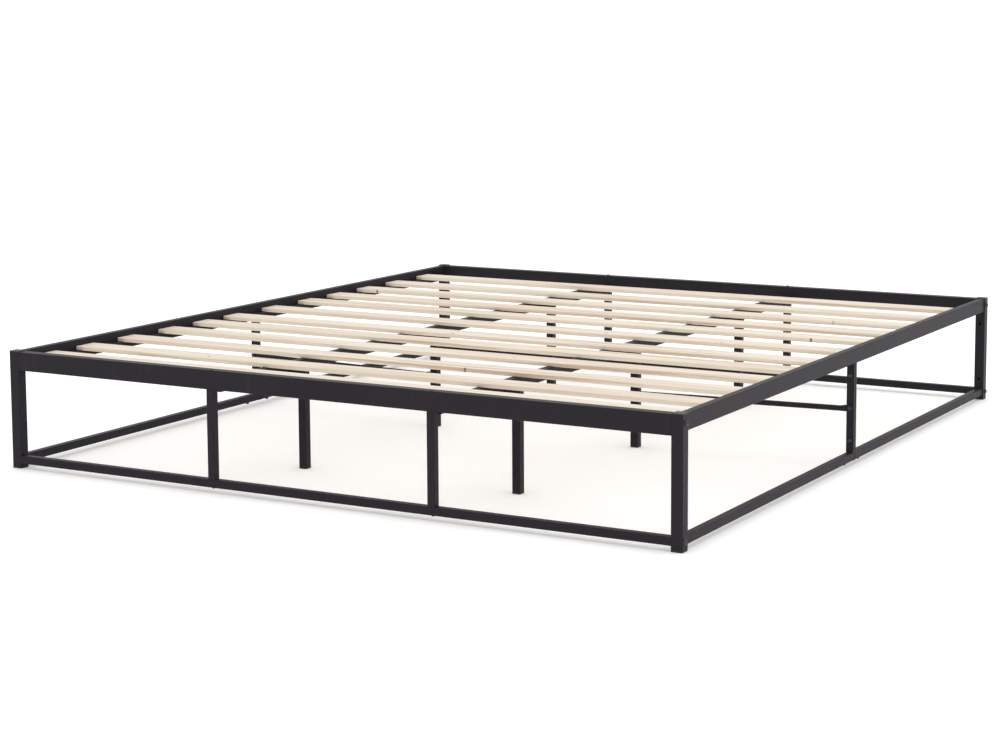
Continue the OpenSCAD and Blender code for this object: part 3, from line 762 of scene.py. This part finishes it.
def make_brace(node, post_node, leg_node):
    """One brace from a side post to an inner leg, lying against both faces."""
    start = Vector((middle_of(post_node)[0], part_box(post_node)[0][1], BRACE_HEIGHT))
    end = Vector((middle_of(leg_node)[0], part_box(leg_node)[0][1], BRACE_HEIGHT))
    toward = 1 if end.x > start.x else -1
    flat = BRACE_TIP + BRACE_STRAIGHT
    length = abs(end.x - start.x) + 2 * BRACE_TIP
    stations = [0.0, 0.0009, 0.003, 0.006, 0.010, flat - 0.003]
    stations += [flat + BRACE_BLEND * k / 12 for k in range(13)]
    stations = stations + [length / 2] + [length - s for s in reversed(stations)]
    rings = []
    for s in stations:
        from_end = min(s, length - s)
        roundness = smooth_step((from_end - flat) / BRACE_BLEND)
        share = max(0.0, min(1.0, (s - flat) / (length - 2 * flat)))
        face = start.y + (end.y - start.y) * share
        half_y = PLATE / 2 + (BRACE_R - PLATE / 2) * roundness
        half_z = BRACE_FLAT + (BRACE_R - BRACE_FLAT) * roundness
        if from_end < BRACE_TIP:
            past = (BRACE_TIP - from_end) / BRACE_TIP
            half_z = BRACE_FLAT * math.sqrt(max(0.06, 1 - past ** 2))
        center = Vector((start.x + toward * (s - BRACE_TIP), face - half_y, BRACE_HEIGHT))
        power = 1.0 - 0.72 * (1 - roundness)
        points = []
        for k in range(BRACE_SIDES):
            a = 2 * math.pi * k / BRACE_SIDES
            c, sn = math.cos(a), math.sin(a)
            y = math.copysign(abs(c) ** power, c) * half_y
            z = math.copysign(abs(sn) ** power, sn) * half_z
            points.append(center + Vector((0, y, z)))
        rings.append(points)
    mesh = lofted_mesh(node + "_tube", rings)
    mesh.materials.append(COAT)
    for polygon in mesh.polygons:
        polygon.use_smooth = True
    piece = bpy.data.objects.new(node + "_tube", mesh)
    bpy.context.scene.collection.objects.link(piece)
    hand_over(piece, "frame", node)


FINISHES = {"frame": COAT, "pine": PINE_FACE, "plastic": PLASTIC, "fastener": BLACK_BOLT}


def dress_frame_nodes():
    """Every CAD node that stays in view gets its slot's finish."""
    slots = {row["node"]: row["material_slot"] for row in frame["record"]["subparts"]}
    for node, obj in frame["nodes"].items():
        finish = FINISHES[slots[node]]
        if not obj.material_slots:
            obj.data.materials.append(finish)
        for place in obj.material_slots:
            place.material = finish


# ---------------------------------------------------------------- studio

def make_floor():
    mesh = bpy.data.meshes.new("studio_floor")
    mesh.from_pydata([(FLOOR_REACH * x, FLOOR_REACH * y, 0)
                      for x, y in ((-1, -1), (1, -1), (1, 1), (-1, 1))], [], [(0, 1, 2, 3)])
    mat = bpy.data.materials.new("pale_floor")
    mat.use_nodes = True
    shader = mat.node_tree.nodes["Principled BSDF"]
    shader.inputs["Base Color"].default_value = (0.955, 0.955, 0.955, 1)
    shader.inputs["Roughness"].default_value = 0.9
    shader.inputs["Emission Color"].default_value = (1, 1, 1, 1)
    shader.inputs["Emission Strength"].default_value = 0.15
    mesh.materials.append(mat)
    floor = bpy.data.objects.new("studio_floor", mesh)
    bpy.context.scene.collection.objects.link(floor)


def make_light(name, place, aim, size, power, color=(1, 1, 1)):
    data = bpy.data.lights.new(name, "AREA")
    data.shape = "RECTANGLE"
    data.size, data.size_y = size
    data.energy = power
    data.color = color
    lamp = bpy.data.objects.new(name, data)
    lamp.location = place
    lamp.rotation_euler = (Vector(aim) - Vector(place)).to_track_quat("-Z", "Y").to_euler()
    bpy.context.scene.collection.objects.link(lamp)


def make_studio():
    make_light("overhead_softbox", (0.6, 0.4, 4.2), (0, 0, 0.2), (5.0, 5.0), 60)
    make_light("right_softbox", (4.6, -1.6, 1.9), (0.4, 0, 0.2), (3.2, 2.2), 5)
    make_light("front_softbox", (1.4, -5.6, 2.4), (0, -0.4, 0.2), (3.5, 2.0), 13)
    world = bpy.data.worlds.new("pale_room")
    world.use_nodes = True
    back = world.node_tree.nodes["Background"]
    back.inputs["Color"].default_value = (1.0, 1.0, 1.0, 1)
    back.inputs["Strength"].default_value = 1.0
    scene = bpy.context.scene
    scene.world = world
    scene.view_settings.view_transform = "Standard"
    scene.view_settings.look = "None"
    scene.view_settings.exposure = 0.0


def make_camera():
    data = bpy.data.cameras.new("product_camera")
    data.sensor_width = SENSOR
    data.lens = LENS
    data.shift_y = LENS_SHIFT
    data.clip_end = 200.0
    cam = bpy.data.objects.new("product_camera", data)
    azimuth, pitch, roll = math.radians(AZIMUTH), math.radians(PITCH), math.radians(ROLL)
    back = Vector((math.sin(azimuth) * math.cos(pitch), -math.cos(azimuth) * math.cos(pitch),
                   math.sin(pitch)))
    right = (-back).cross(Vector((0, 0, 1))).normalized()
    up = right.cross(-back)
    right, up = (math.cos(roll) * right + math.sin(roll) * up,
                 -math.sin(roll) * right + math.cos(roll) * up)
    turn = Matrix((right, up, back)).transposed()
    cam.matrix_world = Matrix.Translation(CAMERA_PLACE) @ turn.to_4x4()
    bpy.context.scene.collection.objects.link(cam)
    bpy.context.scene.camera = cam


dress_frame_nodes()
make_slats()
make_bolts()
make_caps()
make_brace("brace_left", "side_post_left_foot", "center_leg_left_middle")
make_brace("brace_right", "side_post_right_foot", "center_leg_right_middle")
make_floor()
make_studio()
make_camera()
